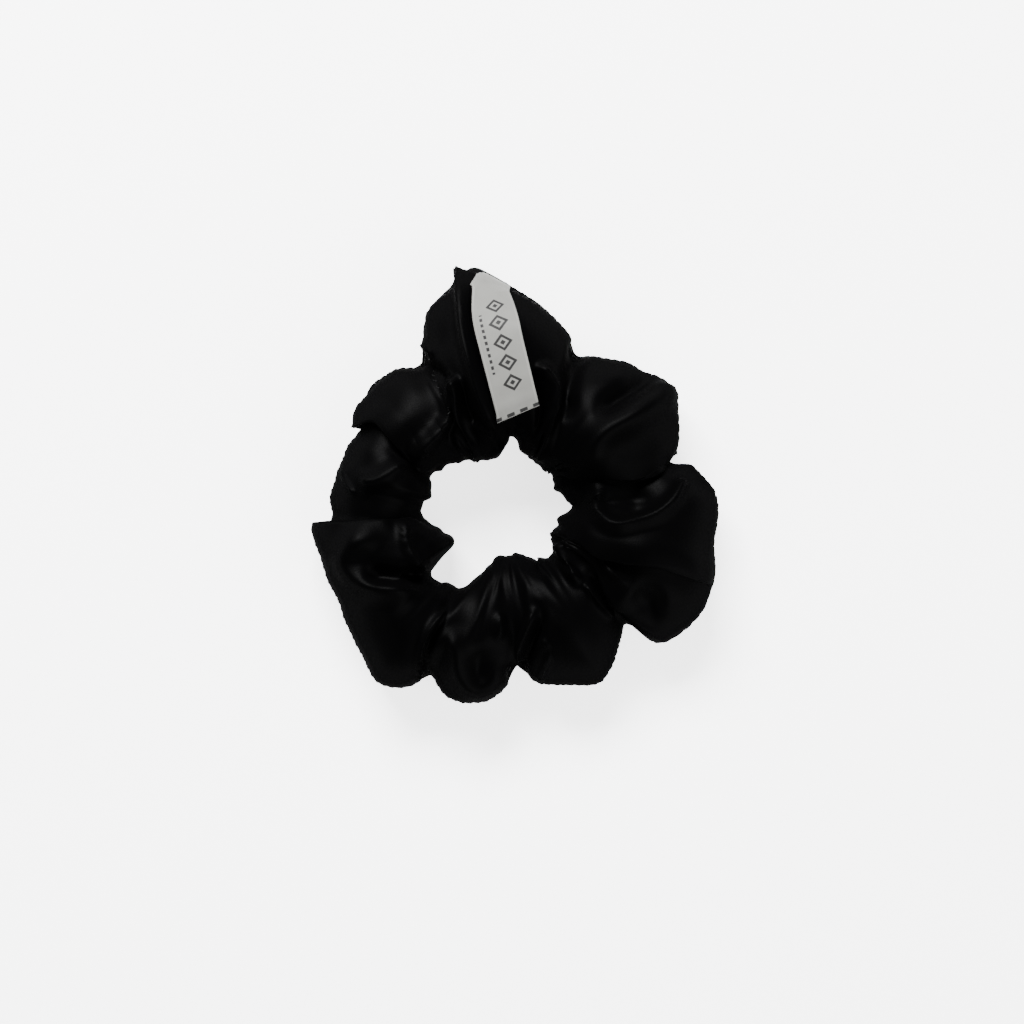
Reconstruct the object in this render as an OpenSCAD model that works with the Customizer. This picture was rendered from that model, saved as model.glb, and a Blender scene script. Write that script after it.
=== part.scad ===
// Satin scrunchie: a gathered fabric tube over an elastic loop, with a folded woven label.
// The origin is the centre of the hair opening, on the surface that the scrunchie lies on.
// The cover, one sewn tube in life, is two halves here, so that the opening can be stretched.

/* [Cover] */
// Radius of the outer edge in the valleys between two puffs
valley_r = 40.5; // [38:0.5:44]
// Radius of the hair opening where the fabric is drawn back furthest
opening_r = 20.5; // [20:0.1:21]
// Height of the fullest puff
puff_h = 27; // [22:0.5:32]
// Height of the cover in a valley
valley_h = 20; // [17:0.5:22]
// How far a valley's underside is lifted off the surface
valley_lift = 2.5; // [1:0.5:4]
// Thickness of the gathered satin layer
satin_t = 0.8; // [0.6:0.1:1.2]

/* [Seams] */
// Depth of the seam allowance inside the tube
allowance_w = 5; // [3:0.5:7]
// Diameter of the sewing thread
thread_d = 0.4; // [0.3:0.05:0.6]
// Length of one stitch of the long seam, in degrees round the ring
stitch_deg = 4; // [3:1:6]
// Direction of the seam that closes the tube, in degrees round the ring
closing_deg = 122; // [120:1:125]

/* [Elastic] */
// Radius of the middle of the elastic loop
elastic_r = 23; // [22.6:0.1:24]
// Width of the braided elastic
elastic_w = 6; // [4:0.5:7]
// Thickness of the braided elastic
elastic_t = 1.2; // [0.8:0.1:1.4]
// Length of the overlap where the elastic's ends are sewn together
overlap_l = 12; // [8:1:16]

/* [Label] */
// Width of the woven label
label_w = 10.6; // [8:0.2:12]
// Thickness of one layer of the label
label_t = 0.35; // [0.25:0.05:0.5]
// Space between the label's two layers
label_gap = 0.4; // [0.2:0.1:0.8]
// Length of the label's cut ends inside the seam
tail_l = 4; // [2:0.5:4.5]

/* [Hidden] */

// Puffs round the outer edge: direction, half width in degrees, radius reached.
outer_puffs = [
    [358, 22, 53], [334, 18, 55], [39, 20, 52], [97, 24, 58.5], [73, 14, 48.5], [134, 16, 44.5],
    [172, 22, 42.5], [201, 22, 46.5], [234, 23, 51], [259, 15, 47.5], [298, 18, 47.5]
];
// Folds that stand into the hair opening: direction, half width in degrees, depth.
inner_folds = [
    [30, 34, 7], [60, 20, 6], [108, 30, 7], [144, 22, 3.4], [204, 16, 6.4],
    [262, 16, 10], [281, 22, 10.4], [318, 24, 6.4], [343, 20, 7]
];
puff_reach = 58.5;     // the furthest puff's radius
full_share = 1.6;      // how soon a puff is full, as it reaches out past the valleys
rest_share = 1.5;      // how soon a puff's underside comes down to the floor
belly = 1.2;           // how much fuller a section is below its middle, before the floor flattens it
station_deg = 5;       // step between the cover's sections
section_sides = 20;    // corners of one section of the cover
cut_gap = 0.3;         // gap between the cover's two halves
seam_share = 0.45;     // height of the long seam, as a share of the section's
seam_rise = 0.2;       // how much of the section's height it rises by, at the label
seam_rise_deg = 30;    // either side of the label, over which it rises
seam_inset = 1.4;      // from the cover's inner face to the long seam's stitches
stitch_steps = 4;      // rings of thread to one stitch
seam_end_deg = 2;      // the long seam's stitches start this far from the cover's cut ends
thread_sides = 6;      // corners of the thread's section
thread_out = thread_d / 2 + 0.05; // from a face that is sewn through to the thread's middle
closing_stitches = 18; // stitches round the closing seam
closing_gap_deg = 6;   // between the two ends of the closing seam's thread
elastic_z = 11;        // height of the elastic's middle
elastic_step = 3;      // degrees between the elastic's sections
join_deg = 250;        // direction of the elastic's overlap
join_clear = 0.05;     // between the overlap's two layers
join_margin = 3;       // degrees without stitches at each end of the overlap
ramp_deg = 12;         // over which the elastic's end climbs onto the other
zigzags = 8;           // legs of the zigzag stitch on the overlap
zigzag_w = 4;          // width of the zigzag
label_a = 94.2;        // direction of the label's root, in degrees round the ring
label_turn = -76.4;    // direction from the root to the label's fold
label_clear = 0.8;     // between the label and the satin under it
label_start = 20;      // degrees up the tube's section where the label starts
label_end = 125;       // and where it ends
fold_deg = 1.2;        // degrees of solid fabric at the label's fold
label_steps = 24;      // straight pieces along the label

overlap_deg = overlap_l / elastic_r * 180 / PI;
black = [0.02, 0.02, 0.022];
silver = [0.72, 0.72, 0.69];
ivory = [0.9, 0.89, 0.86];

// 1 at the middle of a puff or fold, 0 from its half width on.
function bump(x) = max(0, 1 - x * x);
// An angle brought to the range -180 to 180.
function turned(a) = let (b = a - 360 * floor(a / 360)) b > 180 ? b - 360 : b;
function outer_r(a) =
    valley_r + max([for (p = outer_puffs) (p[2] - valley_r) * bump(turned(a - p[0]) / p[1])]);
function inner_r(a) =
    opening_r - max([for (p = inner_folds) p[2] * bump(turned(a - p[0]) / p[1])]);
// How full the cover is in direction a, from 0 in a valley to 1.
function fullness(a) = min(1, full_share * (outer_r(a) - valley_r) / (puff_reach - valley_r));
function low_z(a) = valley_lift * max(0, 1 - rest_share * fullness(a));
function top_z(a) = valley_h + (puff_h - valley_h) * fullness(a) + low_z(a);
function mid_r(a) = (inner_r(a) + outer_r(a)) / 2;
function half_w(a) = (outer_r(a) - inner_r(a)) / 2;
function mid_z(a) = (low_z(a) + top_z(a)) / 2;
function half_h(a) = (top_z(a) - low_z(a)) / 2;

// A point of the cover's section in direction a, t degrees round the section, as [radius, z].
function section_at(a, t, inset) =
    [
        mid_r(a) + (half_w(a) - inset) * cos(t),
        max(low_z(a) + inset, mid_z(a) + (half_h(a) - inset) * sin(t) * (sin(t) < 0 ? belly : 1))
    ];
function placed(a, p) = [p[0] * cos(a), p[0] * sin(a), p[1]];
function section(a, inset) =
    [for (k = [0 : section_sides - 1]) placed(a, section_at(a, 360 * k / section_sides, inset))];
function joined(lists) = [for (l = lists) each l];
function unit(v) = v / norm(v);

// Faces between rings of m corners, ring i to ring i + 1, turned inside out if flip is true.
function band_faces(rings, m, first, flip) =
    [
        for (i = [0 : rings - 2])
            for (k = [0 : m - 1])
                let (
                    a = first + i * m + k,
                    b = first + i * m + (k + 1) % m,
                    c = first + (i + 1) * m + (k + 1) % m,
                    d = first + (i + 1) * m + k
                )
                each flip ? [[a, c, b], [a, d, c]] : [[a, b, c], [a, c, d]]
    ];
// Faces of the tube's open end, between the outer ring at o and the inner ring at n.
function rim_faces(m, o, n, flip) =
    [
        for (k = [0 : m - 1])
            let (a = o + k, b = o + (k + 1) % m, c = n + (k + 1) % m, d = n + k)
            each flip ? [[a, b, c], [a, c, d]] : [[a, c, b], [a, d, c]]
    ];

// A solid bar swept through the given rings of corners, closed at both ends.
module swept(rings) {
    m = len(rings[0]);
    n = len(rings);
    ends = [
        [for (k = [0 : m - 1]) m - 1 - k],
        [for (k = [0 : m - 1]) (n - 1) * m + k]
    ];
    polyhedron(points = joined(rings), faces = concat(band_faces(n, m, 0, false), ends));
}

// The direction of a path at its point i, between the directions before and after it.
function heading(points, i) =
    let (
        b = max(1, i),
        a = min(len(points) - 1, i + 1)
    )
    unit(unit(points[b] - points[b - 1]) + unit(points[a] - points[a - 1]));
// The side of a ring across direction d, turned as little as possible from the side before it.
function next_side(side, d) = unit(side - (side * d) * d);
// One ring of thread round point p, across direction d.
function thread_ring(p, d, side) =
    let (top = cross(side, d))
    [
        for (k = [0 : thread_sides - 1])
            let (t = 360 * k / thread_sides)
            p + thread_d / 2 * (cos(t) * side + sin(t) * top)
    ];
// Thread along a list of points. The first side is across both a radius and a vertical path.
module thread(points) {
    last = len(points) - 1;
    headings = [for (i = [0 : last]) heading(points, i)];
    first = [-points[0][1], points[0][0], 0];
    sides = [
        for (
            i = 0, side = next_side(first, headings[0]);
            i <= last;
            i = i + 1, side = next_side(side, headings[min(i, last)])
        )
        side
    ];
    swept([for (i = [0 : last]) thread_ring(points[i], headings[i], sides[i])]);
}
// A stitch's swing from one face of the fabric to the other, at thread ring i.
function swing(i) = sin(360 * (i + 0.5) / stitch_steps);

// The fabric tube from direction a0 to a1, hollow and open at both ends.
module tube_shell(a0, a1) {
    rings = round((a1 - a0) / station_deg) + 1;
    m = section_sides;
    angles = [for (i = [0 : rings - 1]) a0 + i * station_deg];
    outer = joined([for (a = angles) section(a, 0)]);
    inner = joined([for (a = angles) section(a, satin_t)]);
    start = rings * m;
    last = (rings - 1) * m;
    polyhedron(
        points = concat(outer, inner),
        faces = concat(
            band_faces(rings, m, 0, false),
            band_faces(rings, m, start, true),
            rim_faces(m, 0, start, false),
            rim_faces(m, last, start + last, true)
        )
    );
}

// Height of the long seam in direction a: it runs higher where the label is sewn in.
function seam_z(a) =
    let (share = seam_share + seam_rise * bump(turned(a - label_a) / seam_rise_deg))
    low_z(a) + share * (top_z(a) - low_z(a));
// Radius of the inner face of the cover's outer wall, at the height of the long seam.
function seam_r(a) =
    let (up = (seam_z(a) - mid_z(a)) / (half_h(a) - satin_t))
    mid_r(a) + (half_w(a) - satin_t) * sqrt(1 - up * up);

// The two raw edges of the strip, pressed together inside the tube along the long seam.
module seam_allowance(a0, a1) {
    rings = round((a1 - a0) / station_deg) + 1;
    corners = [
        [-allowance_w, -satin_t], [satin_t / 2, -satin_t],
        [satin_t / 2, satin_t], [-allowance_w, satin_t]
    ];
    swept([
        for (i = [0 : rings - 1])
            let (a = a0 + i * station_deg)
            [for (c = corners) placed(a, [seam_r(a) + c[0], seam_z(a) + c[1]])]
    ]);
}

module cover(a0, a1) {
    color(black)
        union() {
            tube_shell(a0, a1);
            seam_allowance(a0, a1);
        }
}

// The long seam's thread goes up and down through the seam allowance, close to the outer wall.
module long_seam(a0, a1) {
    from = a0 + seam_end_deg;
    sewn = a1 - a0 - 2 * seam_end_deg;
    steps = round(sewn / stitch_deg) * stitch_steps;
    color(black)
        thread([
            for (i = [0 : steps])
                let (a = from + sewn * i / steps)
                placed(a, [seam_r(a) - seam_inset, seam_z(a) + (satin_t + thread_out) * swing(i)])
        ]);
}

// The closing seam's thread goes in and out through the cover, once round the tube.
module closing_seam() {
    steps = closing_stitches * stitch_steps;
    color(black)
        thread([
            for (i = [0 : steps])
                let (
                    t = 180 + closing_gap_deg / 2 + (360 - closing_gap_deg) * i / steps,
                    inset = swing(i) > 0 ? -thread_out : satin_t + thread_out
                )
                placed(closing_deg, section_at(closing_deg, t, inset))
        ]);
}

// Radius of the elastic's middle, at a degrees from its start.
function elastic_at(a) =
    let (up = min(1, max(0, (a - 360 + ramp_deg) / ramp_deg)))
    elastic_r + (elastic_t + join_clear) * (1 - cos(180 * up)) / 2;

// Braided elastic: a full turn, with its end lifted over its start and sewn down.
module elastic_band() {
    steps = ceil((360 + overlap_deg) / elastic_step);
    corners = [[-1, -1], [1, -1], [1, 1], [-1, 1]];
    color(ivory)
        swept([
            for (i = [0 : steps])
                let (a = (360 + overlap_deg) * i / steps)
                [
                    for (c = corners)
                        placed(join_deg - overlap_deg + a,
                            [elastic_at(a) + c[0] * elastic_t / 2, elastic_z + c[1] * elastic_w / 2])
                ]
        ]);
}

// Zigzag stitches through both layers of the elastic's overlap.
module elastic_join() {
    steps = zigzags * stitch_steps;
    middle = elastic_r + (elastic_t + join_clear) / 2;
    both = elastic_t + join_clear / 2 + thread_out;
    from = join_deg - overlap_deg + join_margin;
    sewn = overlap_deg - 2 * join_margin;
    color(ivory)
        thread([
            for (i = [0 : steps])
                let (side = swing(i) > 0 ? both : -both, up = sin(90 * i / stitch_steps))
                placed(from + sewn * i / steps, [middle + side, elastic_z + zigzag_w / 2 * up])
        ]);
}

// The label lies over its puff, along an arc that follows the tube's section there.
module at_label() {
    translate(placed(label_a, [outer_r(label_a), 0]))
        rotate([0, 0, label_turn])
            children();
}
// A point over the satin, t degrees round the section, as [distance from the root, z].
function label_point(t, off) =
    [
        half_w(label_a) - (half_w(label_a) + off) * cos(t),
        mid_z(label_a) + (half_h(label_a) + off) * sin(t)
    ];
// The area between two distances from the satin, from angle t0 to angle t1.
module label_strip(t0, t1, low, high) {
    angles = [for (i = [0 : label_steps]) t0 + (t1 - t0) * i / label_steps];
    back = [for (i = [label_steps : -1 : 0]) angles[i]];
    polygon(concat([for (t = angles) label_point(t, high)], [for (t = back) label_point(t, low)]));
}

// One strip, doubled: it is closed at the fold and open at the seam.
module woven_label() {
    low = label_clear;
    high = low + 2 * label_t + label_gap;
    inside = [low + label_t, high - label_t];
    color(silver)
        at_label()
            rotate([90, 0, 0])
                translate([0, 0, -label_w / 2])
                    linear_extrude(label_w)
                        difference() {
                            label_strip(label_start, label_end, low, high);
                            label_strip(label_start - 1, label_end - fold_deg, inside[0], inside[1]);
                        }
}

// The label's two cut ends, caught in the long seam.
module label_ends() {
    color(silver)
        at_label()
            for (side = [-1, 1])
                translate([
                    outer_r(label_a) - seam_r(label_a), -label_w / 2,
                    seam_z(label_a) + side * satin_t / 2 - label_t / 2
                ])
                    cube([tail_l, label_w, label_t]);
}

translate([0, -cut_gap / 2, 0]) cover(180, 360);  // cover_near
translate([0, cut_gap / 2, 0]) cover(0, 180);  // cover_far
translate([0, -cut_gap / 2, 0]) long_seam(180, 360);  // long_seam_near
translate([0, cut_gap / 2, 0]) long_seam(0, 180);  // long_seam_far
translate([0, cut_gap / 2, 0]) closing_seam();
elastic_band();
elastic_join();
woven_label();
label_ends();
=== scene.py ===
"""A black satin scrunchie lying flat, with a folded woven label over its top puff."""

import math

import bmesh
import bpy
import numpy as np
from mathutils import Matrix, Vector
from mathutils.bvhtree import BVHTree


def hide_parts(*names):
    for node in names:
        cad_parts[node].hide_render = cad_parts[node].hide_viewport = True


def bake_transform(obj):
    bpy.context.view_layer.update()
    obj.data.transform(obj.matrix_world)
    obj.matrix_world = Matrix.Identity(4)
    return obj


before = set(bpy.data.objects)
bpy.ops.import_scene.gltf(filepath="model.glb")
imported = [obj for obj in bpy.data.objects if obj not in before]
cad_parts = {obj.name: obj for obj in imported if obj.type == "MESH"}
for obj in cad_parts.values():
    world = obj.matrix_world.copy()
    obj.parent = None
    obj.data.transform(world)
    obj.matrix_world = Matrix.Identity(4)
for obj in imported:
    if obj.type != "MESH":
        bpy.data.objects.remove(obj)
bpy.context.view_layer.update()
MM = 0.001  # metres

# ---- Cover: outlines in mm from the centre of the hair opening, anticlockwise from +X ----

OUTER = [
    (52.9, 2.0), (52.4, 4.4), (49.3, 8.0), (45.6, 11.7), (40.6, 12.9), (42.4, 20.2), (42.4, 27.6),
    (40.2, 32.4), (33.4, 35.6), (24.4, 38.0), (18.0, 39.3), (17.6, 42.2), (13.9, 46.6),
    (2.9, 54.9), (-3.2, 58.4), (-8.0, 60.0), (-11.7, 55.6), (-19.0, 49.5), (-20.2, 41.0),
    (-20.9, 36.8),
    (-21.5, 35.9), (-26.3, 35.6), (-31.2, 32.4), (-34.9, 26.3), (-35.4, 25.6), (-35.6, 21.5),
    (-38.5, 15.4), (-40.5, 9.3), (-42.0, 5.6), (-42.2, -1.7), (-44.6, -2.2), (-45.6, -4.1),
    (-42.9, -16.3), (-39.8, -23.2), (-34.9, -34.6), (-31.2, -41.5), (-27.1, -43.2), (-22.7, -42.7),
    (-17.8, -39.5), (-14.6, -44.4), (-10.5, -46.3), (-5.6, -46.1), (0.5, -43.2), (3.4, -37.1),
    (9.0, -42.0), (13.9, -42.2), (24.4, -41.5), (28.5, -33.4), (29.8, -26.1), (38.3, -32.0),
    (45.6, -28.5), (49.3, -23.7), (51.7, -16.3), (52.0, -6.6),
]
INNER = [
    (17.6, 1.7), (12.9, 6.1), (12.2, 9.3), (10.2, 10.5), (5.4, 14.1), (2.2, 18.5), (0.5, 17.1),
    (-2.0, 13.7), (-5.6, 12.4), (-11.7, 12.7), (-14.1, 11.7), (-18.3, 8.5), (-17.3, 6.3),
    (-17.8, 3.9), (-20.7, -0.2), (-13.4, -5.6), (-12.4, -7.8), (-15.4, -9.8), (-17.8, -13.4),
    (-17.1, -15.9), (-13.7, -16.8), (-11.2, -18.8), (-5.6, -15.1), (-0.7, -10.5), (2.9, -9.8),
    (8.3, -11.0), (9.3, -12.4), (11.5, -11.5), (12.2, -5.4), (13.9, -1.2),
]
# Height of the cover's top at a direction in degrees, in mm.
TOPS = [
    (0, 24), (17, 20), (40, 26), (62, 20.5), (80, 25), (95, 27), (112, 23), (120, 19), (132, 23),
    (145, 19.5), (163, 22), (180, 20), (188, 23), (215, 25.5), (236, 24), (246, 20), (260, 23),
    (275, 18), (298, 24), (318, 18.5), (335, 25), (350, 26),
]

RINGS = 240
SIDES = 52
DRAWS = np.random.default_rng(11)
SHOULDER = 1.08  # 1 is an ellipse; more makes the upper outer side straighter
WAIST = 0.4  # height of the widest place, as a share of the section's


def polar_radius(outline, directions):
    """The outline's radius in each direction."""
    xy = np.array(outline)
    angle = np.degrees(np.arctan2(xy[:, 1], xy[:, 0])) % 360
    order = np.argsort(angle)
    return np.interp(directions, angle[order], np.hypot(xy[:, 0], xy[:, 1])[order], period=360)


def smooth_ring(values, spread):
    """A ring of values blurred by a bell curve of that spread, in steps of the ring."""
    n = len(values)
    steps = np.minimum(np.arange(n), n - np.arange(n))
    kernel = np.exp(-0.5 * (steps / spread) ** 2)
    kernel /= kernel.sum()
    return np.real(np.fft.ifft(np.fft.fft(values) * np.fft.fft(kernel)))


def power(x, p):
    """x to the power p, keeping its sign."""
    return np.sign(x) * np.abs(x) ** p


def smoothstep(x, low, high):
    """0 below low, 1 above high, and an S-curve between them."""
    t = np.clip((x - low) / (high - low), 0, 1)
    return t * t * (3 - 2 * t)


def turned(degrees):
    """An angle brought to the range -180 to 180."""
    return (degrees + 180) % 360 - 180


FINE = 1440
FINE_DIRECTION = np.arange(FINE) * 360 / FINE
OUTER_R = smooth_ring(polar_radius(OUTER, FINE_DIRECTION), 4)
INNER_R = smooth_ring(polar_radius(INNER, FINE_DIRECTION), 5)
TOP_Z = smooth_ring(np.interp(FINE_DIRECTION, *np.array(TOPS).T, period=360), 24)
TURN = np.arange(SIDES) * 360 / SIDES
LABEL_DIRECTION = 94.2
SEAM_LIFT = 20  # degrees round the section that the long seam rises by at the label
SEAM_LIFT_WIDTH = 17  # in degrees of direction


def above_floor(z, softness):
    """Heights with the negative ones raised to about 0, blended over that many mm."""
    return 0.5 * (z + np.sqrt(z * z + softness**2))


def section_at(direction, turn):
    """Radius and height of the cover's smooth form."""
    outer, inner, top = (
        np.interp(direction, FINE_DIRECTION, v, period=360) for v in (OUTER_R, INNER_R, TOP_Z)
    )
    t = np.radians(turn)
    low = np.interp(top, [18, 23], [1.2, -1.5])
    waist = low + WAIST * (top - low)
    slope = np.where((np.cos(t) > 0) & (np.sin(t) > 0), SHOULDER, 0.95)
    r = (inner + outer) / 2 + (outer - inner) / 2 * power(np.cos(t), slope)
    up = power(np.sin(t), slope)
    z = waist + np.where(up > 0, top - waist, waist - low) * up
    return r, above_floor(z, 1.0) - 0.02


def overlap_track(line, sign, edge):
    """Direction of an overlap's middle at each turn of the section, and its mean direction."""
    xy = curve_through(line)
    r = np.hypot(xy[:, 0], xy[:, 1])
    angle = np.degrees(np.unwrap(np.arctan2(xy[:, 1], xy[:, 0]))) + sign * edge / r * 180 / np.pi
    order = np.argsort(r)
    mean = (angle.min() + angle.max()) / 2
    track = np.full(SIDES, mean)
    for _ in range(6):
        track = np.interp(section_at(track, TURN)[0], r[order], angle[order])
    over = smoothstep(np.sin(np.radians(TURN)), -0.6, 0.1)
    return mean + (track - mean) * over, mean


def base_tube():
    """The cover's smooth form, ring by ring, with one ring of the grid along each overlap."""
    direction = np.arange(RINGS) * 360 / RINGS
    warped = np.repeat(direction[:, None], SIDES, axis=1)
    lift = SEAM_LIFT * np.exp(-((turned(direction - LABEL_DIRECTION) / SEAM_LIFT_WIDTH) ** 2))
    near_seam = 0.5 + 0.5 * np.cos(np.radians(turned(TURN)))
    turn = TURN[None, :] + lift[:, None] * near_seam[None, :] ** 2
    for line, sign, _, overhang, width, _, window, _ in OVERLAPS:
        track, mean = overlap_track(line, sign, overhang - 0.7 * width)
        column = round(mean * RINGS / 360)
        away = turned(direction - column * 360 / RINGS)
        near = np.where(np.abs(away) < window, 0.5 + 0.5 * np.cos(np.pi * away / window), 0)
        warped += near[:, None] * (track - column * 360 / RINGS)[None, :]
    r, z = section_at(warped, turn)
    a = np.radians(warped)
    return np.stack([r * np.cos(a), r * np.sin(a), z], axis=-1)


def grid_normals(p):
    """Outward normals of a closed grid of points."""
    du = np.roll(p, -1, 0) - np.roll(p, 1, 0)
    dv = np.roll(p, -1, 1) - np.roll(p, 1, 1)
    n = np.cross(du, dv)
    n /= np.linalg.norm(n, axis=-1, keepdims=True) + 1e-12
    return n


def curve_through(points, per_span=6):
    """A smooth curve through given points."""
    pts = np.array(points, float)
    ext = np.vstack([2 * pts[0] - pts[1], pts, 2 * pts[-1] - pts[-2]])
    out = []
    for i in range(1, len(ext) - 2):
        p0, p1, p2, p3 = ext[i - 1 : i + 3]
        for t in np.arange(per_span) / per_span:
            out.append(
                0.5
                * (
                    2 * p1
                    + (p2 - p0) * t
                    + (2 * p0 - 5 * p1 + 4 * p2 - p3) * t * t
                    + (3 * p1 - p0 - 3 * p2 + p3) * t**3
                )
            )
    out.append(pts[-1])
    return np.array(out)


def from_line(xy, line):
    """Signed distance of each point from a line (left is positive), and the share along it."""
    seg = np.diff(line, axis=0)
    length = np.linalg.norm(seg, axis=1)
    start = np.concatenate([[0], np.cumsum(length)[:-1]])
    best = np.full(len(xy), 1e9)
    signed = np.zeros(len(xy))
    along = np.zeros(len(xy))
    for p, s, l, a in zip(line[:-1], seg, length, start):
        t = np.clip(((xy - p) @ s) / (l * l), 0, 1)
        gap = xy - (p + t[:, None] * s)
        d = np.hypot(gap[:, 0], gap[:, 1])
        left = np.array([-s[1], s[0]]) / l
        nearer = d < best
        best[nearer] = d[nearer]
        signed[nearer] = (d * np.where(gap @ left >= 0, 1, -1))[nearer]
        along[nearer] = (a + t * l)[nearer] / length.sum()
    return signed, along


def taper(along, ends):
    """1 along a line, falling to 0 over a share of its length at its first and last end."""
    first, last = ends
    up = np.clip(along / first, 0, 1) if first else 1
    down = np.clip((1 - along) / last, 0, 1) if last else 1
    w = up * down
    return w * w * (3 - 2 * w)


# Ridges: line, height, half width, crispness from 0, soft, to 1, a sharp crease, ends.
RIDGES = [
    ([(-9.3, 58.5), (-9.1, 48.9), (-8, 39.8), (-6.1, 31.4), (-3.8, 24.5), (-1.6, 19.2)],
     4.3, 2.0, 0.7, (0.02, 0.12)),
    ([(-7.6, 21.1), (-1.6, 18.4)], 1.3, 0.8, 0.6, (0.2, 0.2)),
    ([(-12.0, 33.2), (-12.2, 27.6), (-12.9, 23), (-16, 19.2), (-19.8, 15.4), (-19, 12.3)],
     3.8, 1.8, 0.6, (0.08, 0.2)),
    ([(-10.8, 32.8), (-11, 26), (-10.3, 21.5), (-8, 16.9), (-5.7, 15)],
     2.0, 0.8, 0.6, (0.08, 0.2)),
    ([(-11.8, 18.4), (-9.1, 14.6), (-6.1, 13.1)], 0.9, 0.8, 0.6, (0.2, 0.2)),
    ([(0.8, 20.7), (0.4, 16.9), (-3.8, 13.1)], 0.8, 0.8, 0.6, (0.2, 0.2)),
    ([(7.7, 36.2), (10.7, 32.9), (11.8, 30.6), (12.2, 24.5), (11.1, 16.9), (8.4, 12.3)],
     3.0, 1.3, 0.6, (0.12, 0.1)),
    ([(10.7, 25.7), (8.8, 18.4), (7.7, 13.1)], 1.3, 0.8, 0.6, (0.25, 0.1)),
    ([(39.5, 32.4), (38.1, 28.3), (34.3, 25.3), (29.8, 22.6), (25.2, 19.9), (22.1, 16.1),
      (21, 9.3)],
     3.2, 3.4, 0.2, (0.1, 0.2)),
    ([(23.7, 7.7), (22.7, 3.2), (23.3, -0.6), (26.7, -3.3), (31.3, -2.9), (35.9, -1.4),
      (39.7, 1.6), (42, 4.7), (43.5, 9.3)],
     3.2, 1.5, 0.5, (0.08, 0.08)),
    ([(24, -12.1), (26.7, -14.4), (30.1, -17.4)], 1.3, 0.8, 0.6, (0.2, 0.2)),
    ([(19.5, -16.6), (22.9, -21.2), (26.8, -25.6)], 1.8, 0.9, 0.7, (0.2, 0.1)),
    ([(13.8, -6.7), (16.4, -12.8), (18.3, -18.2)], 3.0, 1.6, 0.4, (0.1, 0.3)),
    ([(8.4, -30.4), (11.5, -32.6)], 1.2, 0.8, 0.5, (0.2, 0.2)),
    ([(11.5, -33.4), (8.8, -41)], 1.4, 0.8, 0.5, (0.2, 0.1)),
    ([(8.8, -22.4), (6.5, -27.3), (3.8, -34.2), (3.1, -37.2)], 3.2, 1.4, 0.5, (0.2, 0.05)),
    ([(-0.7, -23.5), (-1.1, -31.1)], 1.6, 1.3, 0.2, (0.3, 0.3)),
    ([(-15.2, -27.3), (-11.4, -32.6), (-10.3, -38.7), (-6.8, -42.6), (-3, -41), (-0.7, -34.9)],
     2.4, 2.6, 0.1, (0.2, 0.2)),
    ([(-13.3, -23.1), (-16.7, -26.6), (-19, -31.1), (-20.2, -36.5), (-20.5, -40.5)],
     1.8, 0.8, 0.7, (0.12, 0.05)),
    ([(-28.9, -8.3), (-34.3, -7.5), (-37.7, -11.3), (-35, -15.9), (-28.2, -18.2), (-19, -18.2)],
     2.7, 2.8, 0.1, (0.2, 0.2)),
    ([(-23.2, -3.7), (-23.2, -7.5), (-19, -14.7)], 2.2, 1.0, 0.6, (0.1, 0.15)),
    ([(-38.8, 11.6), (-38.1, 7.7), (-35.4, 3.9)], 1.1, 0.8, 0.6, (0.2, 0.2)),
    ([(-35.8, 7.7), (-30.5, 7.7), (-24.4, 11.6), (-22.8, 14.6)], 2.7, 2.2, 0.2, (0.2, 0.2)),
    ([(-19.8, 41.5), (-16.7, 37.1)], 1.2, 0.8, 0.5, (0.1, 0.3)),
    ([(44.5, 12.6), (48.6, 8.0), (52, 4)], 0.9, 0.8, 0.6, (0.15, 0.15)),
]
# Valleys: line, depth, half width, crispness, ends.
VALLEYS = [
    ([(37.5, 34.5), (32, 30.8), (26.5, 27), (21.5, 22)], 3.4, 2.8, 0.1, (0.25, 0.35)),
    ([(39.5, -22.5), (35, -21.8), (30.5, -18.8)], 2.3, 3.8, 0.0, (0.35, 0.35)),
    ([(-5.6, -42), (-5.4, -37), (-6.2, -31.5)], 1.7, 3.4, 0.0, (0.3, 0.4)),
    ([(18.9, 40.5), (16.8, 33.7), (15.3, 28.3), (14.9, 21.5)], 3.4, 2.2, 0.5, (0.0, 0.3)),
    ([(-22, 38.0), (-15.5, 33.5), (-13.2, 28)], 2.6, 1.6, 0.5, (0.0, 0.4)),
    ([(-34.3, -14.0), (-27, -14.6), (-19, -15.1)], 3.4, 1.9, 0.3, (0.3, 0.1)),
    ([(3.4, -39.0), (5.4, -34.0), (8.0, -28.0), (9.8, -20)], 3.0, 1.8, 0.5, (0.0, 0.4)),
    ([(-18.5, -41.0), (-18.3, -35.5), (-16.9, -30), (-13.5, -25)], 2.2, 1.0, 0.6, (0.0, 0.3)),
    ([(-9.6, 31), (-8.6, 25), (-6.0, 20.5)], 2.0, 1.0, 0.5, (0.2, 0.2)),
    ([(-11.7, 30.5), (-11.8, 25.5), (-12.0, 22.0), (-13.6, 17.5)], 1.8, 0.8, 0.6, (0.1, 0.2)),
    ([(20.5, -14), (24.2, -20.2), (27.4, -25)], 1.6, 0.8, 0.6, (0.2, 0.1)),
    ([(5.5, 35), (8.0, 30), (9.2, 24), (8.4, 18)], 1.6, 1.2, 0.4, (0.2, 0.2)),
]
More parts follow.
